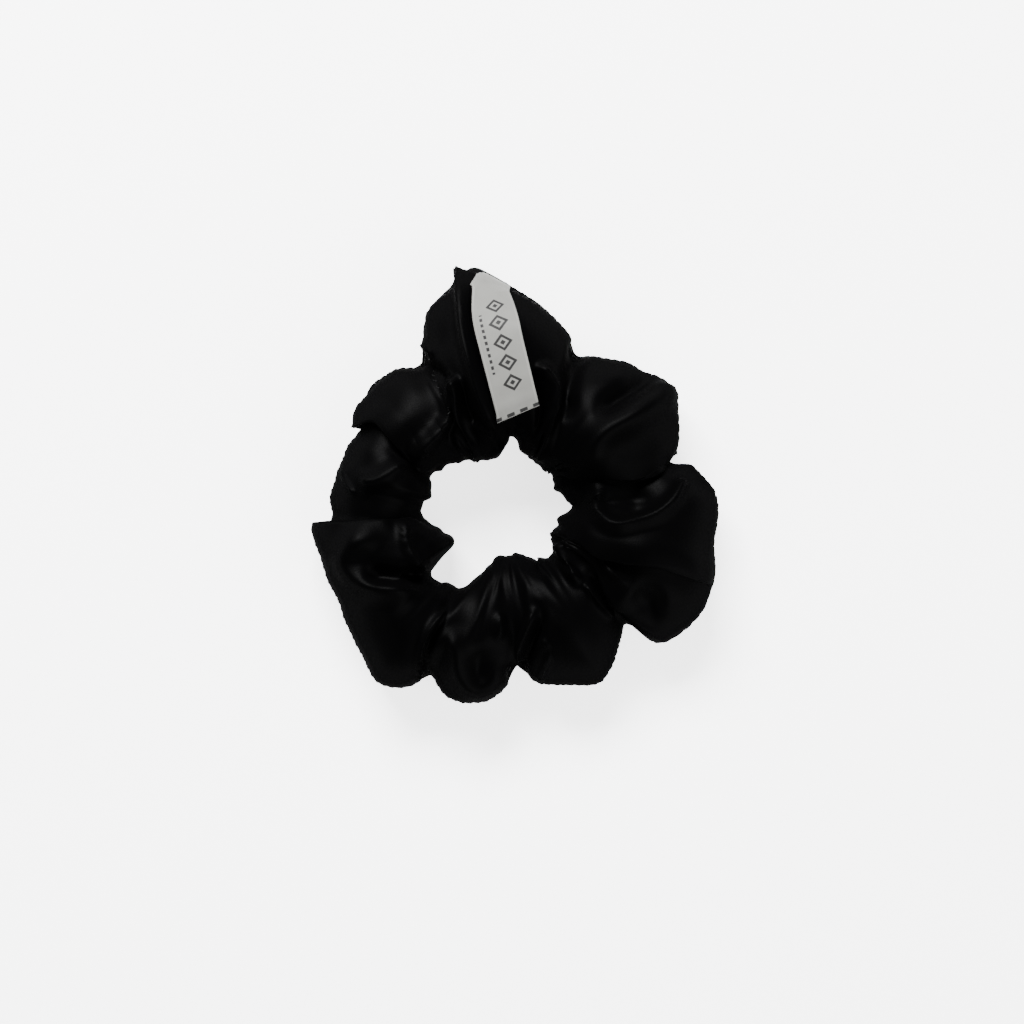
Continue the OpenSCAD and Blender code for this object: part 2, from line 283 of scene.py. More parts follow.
# Overlaps: edge line, side of the upper fabric (1 anticlockwise), rise, overhang, width of the
# turn, reach, window of the ring they draw in, and the turns of the section where they start and
# end, in degrees.
OVERLAPS = [
    ([(15.8, 8.1), (21.4, 8.9), (26.7, 8.1), (32.8, 7.6), (37.4, 9.3), (39.9, 11.8), (41.5, 14)],
     1, 1.5, 3.0, 1.6, 5.0, 24, (165, -60)),
    ([(23.4, -11.0), (30.5, -12.1), (36.6, -13.2), (42, -14.7), (46.5, -16.6), (49.8, -19)],
     1, 1.6, 2.8, 1.5, 5.0, 18, (145, 8)),
    ([(21.9, -13.5), (25.6, -21.2), (30.5, -27.5)], 1, 1.3, 2.6, 1.5, 4.0, 18, (150, -60)),
    ([(-20.3, -0.3), (-23.6, -1.4), (-34.3, -1.8), (-41.9, -2.0), (-47, -2.4)],
     1, 1.5, 3.0, 1.6, 5.0, 18, (165, -60)),
    ([(-37, 20.5), (-35, 21.1), (-31.2, 21.5), (-28.5, 19.2), (-24.4, 14.6), (-20.5, 10),
      (-17.3, 6.8)],
     -1, 1.4, 2.8, 1.5, 4.5, 22, (165, -60)),
]
# Basins: centre, radius, depth.
BASINS = [
    ((32.4, 3.2), 5.5, 4.4),
    ((-14.8, 42), 6.0, 1.5),
    ((-28.5, 26.5), 5.0, 1.2),
    ((-30.0, -28.0), 6.0, 1.5),
]


NARROW = 2.1  # half width in mm of the folds that only the fine grid can hold


def bell(x, crisp):
    """A ridge's height at x half widths from its line, from a soft swell to a crease."""
    return (1 - crisp) * np.exp(-x * x) + crisp * np.exp(-1.7 * (np.sqrt(x * x + 0.09) - 0.3))


def fold(p, fine):
    """The tube with its broad folds, or the fine grid with its narrow ones.

    Each fold moves the upper fabric that it passes over."""
    shape = p.shape
    n = grid_normals(p).reshape(-1, 3)
    q = p.reshape(-1, 3).copy()
    xy = q[:, :2].copy()
    z = q[:, 2]
    upper = smoothstep(z, 4, 12)
    lift = n + np.array([0, 0, 0.5])
    lift /= np.linalg.norm(lift, axis=1, keepdims=True)
    rise = np.zeros(len(q))
    for sign, folds in ((1, RIDGES), (-1, VALLEYS)):
        for line, size, width, crisp, ends in folds:
            if (width < NARROW) == fine:
                s, t = from_line(xy, curve_through(line))
                rise += sign * size * bell(s / width, crisp) * taper(t, ends)
    for centre, radius, depth in [] if fine else BASINS:
        d = np.hypot(*(xy - np.array(centre)).T)
        rise -= depth * np.exp(-((d / radius) ** 2))
    q += (rise * upper)[:, None] * lift
    return q.reshape(shape)


# Pleats drawn at random. Count, where one starts and ends in degrees round the section (0 the
# outer side, 90 the top), height, half width on a 16 mm radius, drift in degrees, crispness.
PLEATS = [
    (58, (130, 160), (205, 250), (0.25, 0.8), (0.7, 1.1), 5, 0.6),
    (46, (170, 215), (292, 345), (0.7, 1.6), (0.8, 1.3), 7, 0.5),
    (30, (235, 285), (352, 368), (0.6, 1.4), (0.9, 1.5), 6, 0.4),
    (44, (60, 95), (140, 175), (0.1, 0.4), (0.6, 1.0), 8, 0.4),
    (54, (-85, -35), (5, 50), (0.12, 0.5), (0.7, 1.5), 9, 0.3),
]


def pleated(p):
    """The tube with pleats that run round its section, dense on the inner side."""
    n = grid_normals(p)
    r = np.hypot(p[..., 0], p[..., 1])
    direction = np.degrees(np.arctan2(p[..., 1], p[..., 0]))
    turn = np.broadcast_to(TURN, r.shape)
    rise = np.zeros(r.shape)
    for count, first, last, height, width, drift, crisp in PLEATS:
        for i in range(count):
            at = (i + DRAWS.uniform(-0.35, 0.35)) * 360 / count
            start, end = DRAWS.uniform(*first), DRAWS.uniform(*last)
            tall, wide = DRAWS.uniform(*height), DRAWS.uniform(*width)
            lean, sway = DRAWS.uniform(-drift, drift), DRAWS.uniform(-2, 2)
            t = (turn - start) / (end - start)
            t = np.where(t < -0.5, t + 360 / (end - start), t)
            line = at + lean * (t - 0.5) + sway * np.sin(5 * t)
            x = turned(direction - line) * np.pi / 180 * r / (wide * (r / 16) ** 0.8)
            on = smoothstep(t, 0, 0.3) * smoothstep(-t, -1, -0.7)
            rise += tall * on * bell(x, crisp) * DRAWS.choice([1, 1, -0.8])
    return p + rise[..., None] * n


def linked_object(name, points_mm, faces):
    """A smooth-shaded mesh object of those points and faces."""
    mesh = bpy.data.meshes.new(name)
    mesh.from_pydata((np.array(points_mm).reshape(-1, 3) * MM).tolist(), [], faces)
    mesh.update()
    mesh.shade_smooth()
    obj = bpy.data.objects.new(name, mesh)
    bpy.context.collection.objects.link(obj)
    return obj


def grid_faces(nu, nv, closed_u=True):
    """The faces of a grid of points, closed round its columns, and along its rows if closed_u."""
    i, k = np.meshgrid(np.arange(nu if closed_u else nu - 1), np.arange(nv), indexing="ij")
    i2, k2 = (i + 1) % nu, (k + 1) % nv
    faces = np.stack([i * nv + k, i2 * nv + k, i2 * nv + k2, i * nv + k2], axis=-1)
    return faces.reshape(-1, 4).tolist()


def square(name, half_m):
    """A flat square at height 0, on the middle of the scene."""
    h = half_m
    mesh = bpy.data.meshes.new(name)
    mesh.from_pydata([(-h, -h, 0), (h, -h, 0), (h, h, 0), (-h, h, 0)], [], [(0, 1, 2, 3)])
    obj = bpy.data.objects.new(name, mesh)
    bpy.context.collection.objects.link(obj)
    return obj


SIM_SCALE = 20  # the simulation works on cloth of furniture size
SIM_FRAMES = 20
FLOOR_HALF = 3  # metres


def relaxed(p, frames):
    """The tube after a short cloth simulation. Its fabric is longer round the ring than the shape
    it is held near, so that it gathers, and it rests on the floor."""
    radius = np.hypot(p[..., 0], p[..., 1])
    grow = np.interp(radius, [15, 50], [8, 16])
    longer = p.copy()
    longer[..., :2] += p[..., :2] * (grow / radius)[..., None]
    obj = linked_object("gathering", p * SIM_SCALE, grid_faces(*p.shape[:2]))
    obj.shape_key_add(name="now")
    key = obj.shape_key_add(name="longer")
    key.data.foreach_set("co", (longer * SIM_SCALE * MM).astype(np.float32).ravel())
    key.value = 0
    group = obj.vertex_groups.new(name="hold")
    group.add(list(range(len(obj.data.vertices))), 0.6, "REPLACE")
    cloth = obj.modifiers.new("cloth", "CLOTH")
    st = cloth.settings
    st.quality = 6
    st.mass = 0.3
    st.tension_stiffness = 25
    st.compression_stiffness = 25
    st.shear_stiffness = 6
    st.bending_stiffness = 2.0
    st.tension_damping = 5
    st.compression_damping = 5
    st.shear_damping = 5
    st.bending_damping = 0.5
    st.rest_shape_key = key
    st.vertex_group_mass = "hold"
    st.pin_stiffness = 0.15
    st.use_pressure = True
    st.uniform_pressure_force = 0.6
    st.effector_weights.gravity = 0.05
    touch = cloth.collision_settings
    touch.use_collision = True
    touch.distance_min = 0.002
    touch.use_self_collision = True
    touch.self_distance_min = 0.004
    touch.collision_quality = 2
    cloth.point_cache.frame_start = 1
    cloth.point_cache.frame_end = frames
    ground = square("ground", FLOOR_HALF)
    ground.modifiers.new("collision", "COLLISION")
    scene = bpy.context.scene
    for frame_number in range(1, frames + 1):
        scene.frame_set(frame_number)
    shown = obj.evaluated_get(bpy.context.evaluated_depsgraph_get())
    out = np.empty(len(shown.data.vertices) * 3, np.float32)
    shown.data.vertices.foreach_get("co", out)
    scene.frame_set(1)
    for o in (obj, ground):
        bpy.data.objects.remove(o)
    return out.reshape(p.shape).astype(float) / (SIM_SCALE * MM)


def overlapped(p):
    """The fine grid with its overlaps, each folding back under itself along one ring."""
    rings, sides = p.shape[:2]
    smooth = p.copy()
    for _ in range(6):
        smooth = (np.roll(smooth, 1, 0) + 2 * smooth + np.roll(smooth, -1, 0)) / 4
        smooth = (np.roll(smooth, 1, 1) + 2 * smooth + np.roll(smooth, -1, 1)) / 4
    n = grid_normals(smooth)
    side = np.roll(smooth, -1, 0) - np.roll(smooth, 1, 0)
    step = np.linalg.norm(side, axis=-1)
    side /= step[..., None]
    turn = turned(np.arange(sides) * 360 / sides)
    q = p.copy()
    for line, sign, rise, overhang, width, reach, _, turns in OVERLAPS:
        _, mean = overlap_track(line, sign, overhang - 0.7 * width)
        column = round(mean * RINGS / 360) * rings // RINGS
        ids = (column + np.arange(-60, 61)) % rings
        apart = step[ids] / 2
        s = np.cumsum(apart, axis=0) - apart / 2
        s = sign * (s - s[60])
        first, last = turns
        t = np.where(turn < -90, turn + 360, turn)
        w = smoothstep(t, last, last + 40) * smoothstep(-t, -first, -first + 35)
        back = 2.33 * s / width * np.exp(-((s / width) ** 2))
        up = np.tanh(s / (0.6 * width)) * np.exp(-((s / reach) ** 2))
        q[ids] -= (sign * overhang * back * w)[..., None] * side[ids]
        q[ids] += (rise * up * w)[..., None] * n[ids]
    return q


def finer(p):
    """A closed grid of points with twice as many rings and sides."""
    for axis in (0, 1):
        a, b, c, d = (np.roll(p, -k, axis) for k in (-1, 0, 1, 2))
        half = (9 * (b + c) - a - d) / 16
        p = np.stack([p, half], axis=axis + 1)
        shape = list(p.shape)
        shape[axis : axis + 2] = [shape[axis] * 2]
        p = p.reshape(shape)
    return p


def seamed(p, row, column):
    """The fine grid with a groove along both seams, puckered between the long seam's stitches."""
    n = grid_normals(p)
    q = p.copy()
    rings, sides = p.shape[:2]
    for offset, depth in ((0, 0.5), (1, 0.16), (-1, 0.16)):
        q[:, (row + offset) % sides] -= depth * n[:, (row + offset) % sides]
        q[(column + offset) % rings] -= depth * n[(column + offset) % rings]
    for offset in (2, 3, -2, -3):
        pucker = 0.14 * np.sin(np.arange(rings) * 2.1 + offset)
        q[:, (row + offset) % sides] += pucker[:, None] * n[:, (row + offset) % sides]
    return q


def settled(p):
    """The grid with its underside lowered onto the floor, and nothing under the floor."""
    q = p.copy()
    low = smooth_ring(p[..., 2].min(axis=1), 5) - 0.15
    q[..., 2] -= low[:, None] * (1 - smoothstep(p[..., 2], 2.5, 12))
    q[..., 2] = 0.08 + above_floor(q[..., 2] - 0.1, 0.3)
    return q


def threads(name, paths, radius):
    """An object of round threads of that radius in mm, one along each of the paths."""
    verts, faces = [], []
    sides = 6
    turn = np.arange(sides) * 2 * np.pi / sides
    for path in paths:
        path = np.array(path)
        t = np.gradient(path, axis=0)
        t /= np.linalg.norm(t, axis=1, keepdims=True)
        side = np.cross(t, [0.13, 0.31, 0.94])
        side /= np.linalg.norm(side, axis=1, keepdims=True)
        top = np.cross(side, t)
        ring = (
            path[:, None]
            + radius * np.cos(turn)[None, :, None] * side[:, None]
            + radius * np.sin(turn)[None, :, None] * top[:, None]
        )
        first = len(verts)
        verts += ring.reshape(-1, 3).tolist()
        last = first + (len(path) - 1) * sides
        for i in range(len(path) - 1):
            for k in range(sides):
                a, b = first + i * sides + k, first + i * sides + (k + 1) % sides
                faces.append((a, b, b + sides, a + sides))
        faces.append([first + k for k in range(sides)][::-1])
        faces.append([last + k for k in range(sides)])
    return linked_object(name, verts, faces)


def along(path, normals, s):
    """Points and normals at lengths s along a closed path."""
    loop = np.vstack([path, path[:1]])
    ups = np.vstack([normals, normals[:1]])
    length = np.concatenate([[0], np.cumsum(np.linalg.norm(np.diff(loop, axis=0), axis=1))])
    s = s % length[-1]
    at = np.stack([np.interp(s, length, loop[:, k]) for k in range(3)], axis=-1)
    up = np.stack([np.interp(s, length, ups[:, k]) for k in range(3)], axis=-1)
    return at, up / np.linalg.norm(up, axis=-1, keepdims=True), length[-1]


def stitches(path, normals, pitch, share, height, slant=0.0):
    """Paths of stitches along a closed path. Each comes out of the fabric and goes back in."""
    total = along(path, normals, np.zeros(1))[2]
    count = round(total / pitch)
    t = np.linspace(0, 1, 7)
    made = []
    for i in range(count):
        s = (i + share * t) * total / count
        at, up, _ = along(path, normals, s)
        heading = at[-1] - at[0]
        side = np.cross(up, heading / (np.linalg.norm(heading) + 1e-9))
        rise = height * (1 - np.abs(2 * t - 1) ** 3 * 2.2)
        made.append(at + rise[:, None] * up + (slant * (t - 0.5))[:, None] * side)
    return made


# ---- Materials ----


def material(name):
    """A new material, its nodes and links, and its shader."""
    m = bpy.data.materials.new(name)
    m.use_nodes = True
    nodes, links = m.node_tree.nodes, m.node_tree.links
    return m, nodes, links, nodes["Principled BSDF"]


def math_node(nodes, links, operation, *inputs):
    """A math node fed by sockets or numbers; returns its output."""
    node = nodes.new("ShaderNodeMath")
    node.operation = operation
    for i, value in enumerate(inputs):
        if isinstance(value, (int, float)):
            node.inputs[i].default_value = value
        else:
            links.new(value, node.inputs[i])
    return node.outputs[0]


def noise_node(nodes, links, coordinates, scale, detail):
    """Noise at those coordinates, whose scale is in cells per metre; returns its output."""
    node = nodes.new("ShaderNodeTexNoise")
    node.inputs["Scale"].default_value = scale
    node.inputs["Detail"].default_value = detail
    links.new(coordinates, node.inputs["Vector"])
    return node.outputs["Fac"]


def bump_into(nodes, links, bsdf, height, strength, distance):
    """Bumps of that height in metres on the shader's normal."""
    bump = nodes.new("ShaderNodeBump")
    bump.inputs["Strength"].default_value = strength
    bump.inputs["Distance"].default_value = distance
    links.new(height, bump.inputs["Height"])
    links.new(bump.outputs["Normal"], bsdf.inputs["Normal"])


def map_range(nodes, links, value, low, high, to_low, to_high):
    """The value brought from one range to another, and held at its ends; returns its output."""
    node = nodes.new("ShaderNodeMapRange")
    links.new(value, node.inputs["Value"])
    for name, number in zip(
        ("From Min", "From Max", "To Min", "To Max"), (low, high, to_low, to_high)
    ):
        node.inputs[name].default_value = number
    return node.outputs["Result"]


def mix_colours(nodes, links, factor, one, two):
    """A mix of two colours or sockets; returns its output."""
    node = nodes.new("ShaderNodeMix")
    node.data_type = "RGBA"
    links.new(factor, node.inputs["Factor"])
    for socket, value in ((node.inputs["A"], one), (node.inputs["B"], two)):
        if isinstance(value, tuple):
            socket.default_value = value
        else:
            links.new(value, socket)
    return node.outputs["Result"]


def satin_material():
    """Black satin: fine floats that glint in a soft grain."""
    m, nodes, links, bsdf = material("black_satin")
    place = nodes.new("ShaderNodeTexCoord").outputs["Object"]
    grain = noise_node(nodes, links, place, 2600, 3)
    cloud = noise_node(nodes, links, place, 90, 2)
    darker, lighter = (0.00006, 0.00006, 0.00008, 1), (0.00018, 0.00017, 0.0002, 1)
    shade = mix_colours(nodes, links, cloud, darker, lighter)
    links.new(shade, bsdf.inputs["Base Color"])
    # The floats lie flat, so the gloss fades at grazing angles.
    facing = nodes.new("ShaderNodeLayerWeight")
    facing.inputs["Blend"].default_value = 0.5
    dull = map_range(nodes, links, facing.outputs["Facing"], 0.22, 0.62, 0.37, 0.84)
    rough = math_node(nodes, links, "MULTIPLY_ADD", grain, 0.18, dull)
    links.new(rough, bsdf.inputs["Roughness"])
    bsdf.inputs["Specular IOR Level"].default_value = 0.0055
    bump_into(nodes, links, bsdf, grain, 0.5, 0.00007)
    return m


def thread_material(name, colour, roughness, specular):
    """Twisted sewing thread."""
    m, nodes, links, bsdf = material(name)
    place = nodes.new("ShaderNodeTexCoord").outputs["Object"]
    twist = nodes.new("ShaderNodeTexWave")
    twist.bands_direction = "DIAGONAL"
    twist.inputs["Scale"].default_value = 1400
    twist.inputs["Distortion"].default_value = 1.5
    links.new(place, twist.inputs["Vector"])
    dark = tuple(0.6 * c for c in colour[:3]) + (1,)
    shade = mix_colours(nodes, links, twist.outputs["Fac"], dark, colour)
    links.new(shade, bsdf.inputs["Base Color"])
    bsdf.inputs["Roughness"].default_value = roughness
    bsdf.inputs["Specular IOR Level"].default_value = specular
    bump_into(nodes, links, bsdf, twist.outputs["Fac"], 0.5, 0.00005)
    return m


def elastic_material():
    """Braided elastic: rubber cords under a diagonal braid of white yarn."""
    m, nodes, links, bsdf = material("braided_elastic")
    place = nodes.new("ShaderNodeTexCoord").outputs["Object"]
    braid = nodes.new("ShaderNodeTexWave")
    braid.bands_direction = "DIAGONAL"
    braid.inputs["Scale"].default_value = 700
    braid.inputs["Distortion"].default_value = 2.0
    links.new(place, braid.inputs["Vector"])
    gap, yarn = (0.5, 0.49, 0.45, 1), (0.82, 0.81, 0.77, 1)
    colour = mix_colours(nodes, links, braid.outputs["Fac"], gap, yarn)
    links.new(colour, bsdf.inputs["Base Color"])
    bsdf.inputs["Roughness"].default_value = 0.8
    bump_into(nodes, links, bsdf, braid.outputs["Fac"], 0.6, 0.0001)
    return m


LABEL_WIDTH = 10.7
LABEL_VISIBLE = 33.5  # mm of the label's upper layer that show from above, up to its fold


def label_material():
    """Damask-woven ribbon with a generic woven ornament.

    Its map holds the mm along and across the ribbon, divided by 100."""
    m, nodes, links, bsdf = material("label_ribbon")
    uv = nodes.new("ShaderNodeUVMap")
    uv.uv_map = "ribbon"
    split = nodes.new("ShaderNodeSeparateXYZ")
    links.new(uv.outputs["UV"], split.inputs["Vector"])
    s = math_node(nodes, links, "MULTIPLY", split.outputs["X"], 100.0)
    w = math_node(nodes, links, "MULTIPLY", split.outputs["Y"], 100.0)

    def do(operation, *inputs):
        return math_node(nodes, links, operation, *inputs)

    def between(value, low, high):
        return do("MULTIPLY", do("GREATER_THAN", value, low), do("LESS_THAN", value, high))

    # Lozenges with a dot, in a row along the ribbon.
    step = 4.9
    du = do("SUBTRACT", do("FLOORED_MODULO", do("SUBTRACT", s, 3.8), step), step / 2)
    dw = do("SUBTRACT", w, 0.5)
    d = do("ADD", do("DIVIDE", do("ABSOLUTE", du), 2.1), do("DIVIDE", do("ABSOLUTE", dw), 2.4))
    ring = do("MAXIMUM", between(d, 0.62, 1.0), do("LESS_THAN", d, 0.3))
    row = do("MULTIPLY", ring, between(s, 3.8, 3.8 + 5 * step))
    # A thin dashed line beside them.
    dash = do("LESS_THAN", do("FLOORED_MODULO", s, 1.5), 0.85)
    dash = do("MULTIPLY", dash, between(w, -3.75, -3.05))
    dash = do("MULTIPLY", dash, between(s, 8.0, 23.0))
    # Dark floats across the fold.
    fold_line = between(s, LABEL_VISIBLE - 0.75, LABEL_VISIBLE + 0.1)
    fold_marks = do("LESS_THAN", do("FLOORED_MODULO", do("ADD", w, 6.0), 3.3), 1.9)
    fold_marks = do("MULTIPLY", fold_marks, fold_line)
    mark = do("MAXIMUM", do("MAXIMUM", row, dash), fold_marks)
    # Weave: fine weft ribs, a coarser twill in the ground, and denser selvedges.
    weft = do("SINE", do("MULTIPLY", s, 2 * math.pi / 0.42))
    warp = do("SINE", do("MULTIPLY", w, 2 * math.pi / 0.36))
    weave = do("MULTIPLY", weft, warp)
    selvedge = do("GREATER_THAN", do("ABSOLUTE", w), LABEL_WIDTH / 2 - 0.55)
    place = nodes.new("ShaderNodeTexCoord").outputs["Object"]
    uneven = noise_node(nodes, links, place, 260, 2)
    ground = mix_colours(nodes, links, uneven, (0.05, 0.05, 0.0467, 1), (0.068, 0.068, 0.0635, 1))
    shade = map_range(nodes, links, weave, -1, 1, 0.0, 0.5)
    ground = mix_colours(nodes, links, shade, ground, (0.036, 0.036, 0.0333, 1))
    edge = do("MULTIPLY", selvedge, 0.35)
    ground = mix_colours(nodes, links, edge, ground, (0.103, 0.103, 0.0965, 1))
    colour = mix_colours(nodes, links, mark, ground, (0.003, 0.003, 0.003, 1))
    links.new(colour, bsdf.inputs["Base Color"])
    bsdf.inputs["Roughness"].default_value = 0.55
    bsdf.inputs["Specular IOR Level"].default_value = 0.08
    height = do("ADD", do("MULTIPLY", weave, 0.5), do("MULTIPLY", mark, 0.9))
    bump_into(nodes, links, bsdf, height, 0.5, 0.00006)
    return m


SATIN = satin_material()
RIBBON = label_material()
BLACK_THREAD = thread_material("black_thread", (0.0008, 0.0008, 0.0009, 1), 0.5, 0.03)
ELASTIC = elastic_material()
WHITE_THREAD = thread_material("white_thread", (0.8, 0.79, 0.76, 1), 0.6, 0.25)

# ---- Cover ----

SEAM_ROW = 0  # the row of the grid along the outer side
CLOSING_DIRECTION = 118
# Two points between the two halves, in metres, given to finished with each piece.
STRETCH = dict(start=(0, -0.045, 0), end=(0, 0.052, 0))

points = pleated(fold(base_tube(), False))
points = relaxed(points, SIM_FRAMES)
closing_column = round(CLOSING_DIRECTION * 2 * RINGS / 360)
points = fold(finer(points), True)
points = settled(seamed(overlapped(points), SEAM_ROW, closing_column))
cover = linked_object("satin_cover", points, grid_faces(*points.shape[:2]))
cover.data.materials.append(SATIN)
SATIN_THICKNESS, RIBBON_THICKNESS = 0.3, 0.24
solid = cover.modifiers.new("thickness", "SOLIDIFY")
solid.thickness = SATIN_THICKNESS * MM
solid.offset = -1


def finished(obj, nodes, slot, *bodies, **blend):
    """Hides the parts of model.glb that a piece replaces, and bakes the piece's transform. Its
    slot, bodies and blend arguments are not used.
    """
    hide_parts(*nodes)
    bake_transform(obj)


finished(cover, ("cover_near", "cover_far"), "satin", "near_half", "far_half", **STRETCH)

# ---- Sewing thread ----

normals = grid_normals(points)
seam = threads(
    "long_seam_stitches",
    stitches(points[:, SEAM_ROW], normals[:, SEAM_ROW], 2.6, 0.78, 0.2),
    0.2,
)
seam.data.materials.append(BLACK_THREAD)
long_seam = ("long_seam_near", "long_seam_far")
finished(seam, long_seam, "seam_thread", "near_half", "far_half", **STRETCH)

closing = threads(
    "closing_seam_stitches",
    stitches(points[closing_column], normals[closing_column], 2.2, 0.6, 0.06, 1.2),
    0.13,
)
closing.data.materials.append(BLACK_THREAD)
finished(closing, ("closing_seam",), "seam_thread", "near_half", "far_half", **STRETCH)

# ---- Elastic ----

# The middle's height, the thickness and the width in mm.
ELASTIC_Z, ELASTIC_T, ELASTIC_W = 11, 1.2, 6
# Where the overlap ends, its length, and the length of the step onto it, in degrees.
JOIN_DIRECTION, OVERLAP, RAMP = 250, 29.9, 12


def elastic_middle(a):
    """Radius of the elastic's middle, a degrees from its start."""
    direction = JOIN_DIRECTION - OVERLAP + a
    inner = np.interp(direction, FINE_DIRECTION, smooth_ring(INNER_R, 40), period=360)
    up = np.clip((a - 360 + RAMP) / RAMP, 0, 1)
    return np.maximum(23, inner + 4) + (ELASTIC_T + 0.05) * (1 - np.cos(np.pi * up)) / 2


def elastic_band():
    """The braided elastic, with its lengthwise ribs and closed ends."""
    a = np.linspace(0, 360 + OVERLAP, 300)
    across = np.linspace(-1, 1, 31)
    rib = 0.09 * np.cos(across * np.pi * 5)
    edge = np.sqrt(np.maximum(0, 1 - across**12))
    half = (ELASTIC_T / 2 - 0.09 + rib) * edge + 0.02
    x = np.concatenate([half, -half[::-1]])
    z = ELASTIC_Z + np.concatenate([across, across[::-1]]) * ELASTIC_W / 2
    r = elastic_middle(a)[:, None] + x[None, :]
    angle = np.radians(JOIN_DIRECTION - OVERLAP + a)[:, None]
    p = np.stack([r * np.cos(angle), r * np.sin(angle), np.broadcast_to(z, r.shape)], axis=-1)
    obj = linked_object("elastic_loop", p, grid_faces(*p.shape[:2], closed_u=False))
    first_end = list(range(len(x)))
    last_end = [(len(a) - 1) * len(x) + k for k in first_end][::-1]
    bm = bmesh.new()
    bm.from_mesh(obj.data)
    bm.verts.ensure_lookup_table()
    for ids in (first_end, last_end):
        bm.faces.new([bm.verts[i] for i in ids])
    bmesh.ops.recalc_face_normals(bm, faces=bm.faces)
    bm.to_mesh(obj.data)
    bm.free()
    return obj


band = elastic_band()
band.data.materials.append(ELASTIC)
finished(band, ("elastic_band",), "elastic", "near_half", "far_half", **STRETCH)


def join_paths():
    """Zigzag stitches through both layers of the elastic's overlap."""
    count, margin = 10, 3
    a = np.linspace(margin, OVERLAP - margin, count * 8 + 1)
    phase = np.arange(len(a)) / 8
    both = ELASTIC_T + 0.25
    side = both * np.tanh(3 * np.sin(2 * np.pi * phase)) / np.tanh(3)
    up = 2 * np.arcsin(np.sin(np.pi * phase / 2 + 0.4)) / (np.pi / 2)
    r = elastic_middle(a) + (ELASTIC_T + 0.05) / 2 + side
    angle = np.radians(JOIN_DIRECTION - OVERLAP + a)
    return [np.stack([r * np.cos(angle), r * np.sin(angle), ELASTIC_Z + up], axis=-1)]


join = threads("elastic_join_stitches", join_paths(), 0.2)
join.data.materials.append(WHITE_THREAD)
finished(join, ("elastic_join",), "elastic_thread", "near_half", "far_half", **STRETCH)

# ---- Label ----

LABEL_LINE = [(-4.2, 56.4), (-3.5, 53.3), (-1.6, 45.2), (1.0, 34.5), (3.6, 23.9)]
LABEL_TILT = 30  # degrees that its left side dips by at the seam


def upper_hull(x, y):
    """The tightest downward-curving line over the points."""
    hull = []
    for p in zip(x, y):
        while len(hull) > 1:
            (x1, y1), (x2, y2) = hull[-2:]
            if (y2 - y1) * (p[0] - x2) > (p[1] - y2) * (x2 - x1):
                break
            hull.pop()
        hull.append(p)
    hx, hy = zip(*hull)
    return np.interp(x, hx, hy)


def blurred(values, spread):
    """A line of values blurred by a bell curve, its ends held."""
    n = len(values)
    padded = np.concatenate([np.full(n, values[0]), values, np.full(n, values[-1])])
    k = np.arange(-3 * int(spread) - 1, 3 * int(spread) + 2)
    kernel = np.exp(-0.5 * (k / spread) ** 2)
    return np.convolve(padded, kernel / kernel.sum(), "same")[n : 2 * n]


def clear_of(tree, p, least, most, rounds):
    """The grid p kept between those distances from the fabric, and smoothed, its first row kept.
    most has a value for each row."""
    q = p.copy()
    for _ in range(rounds):
        for i in range(1, q.shape[0]):
            for k in range(q.shape[1]):
                place, up, _, _ = tree.find_nearest(Vector(q[i, k]))
                gap = (Vector(q[i, k]) - place).dot(up)
                if gap < least:
                    q[i, k] += np.array(up) * (least - gap)
                elif gap > most[i]:
                    q[i, k, 2] -= 0.8 * (gap - most[i])
        q[1:-1, 1:-1] += 0.25 * (q[2:, 1:-1] + q[:-2, 1:-1] - 2 * q[1:-1, 1:-1])
        q[1:-1, 1:-1] += 0.25 * (q[1:-1, 2:] + q[1:-1, :-2] - 2 * q[1:-1, 1:-1])
        for edge in (0, -1):
            q[1:-1, edge] += 0.25 * (q[2:, edge] + q[:-2, edge] - 2 * q[1:-1, edge])
    return q


def seen_height(tree, x, y):
    """Height of the fabric seen from above at x, y, or 8 mm where there is none."""
    hit = tree.ray_cast(Vector((x, y, 60)), Vector((0, 0, -1)))[0]
    return hit[2] if hit else 8


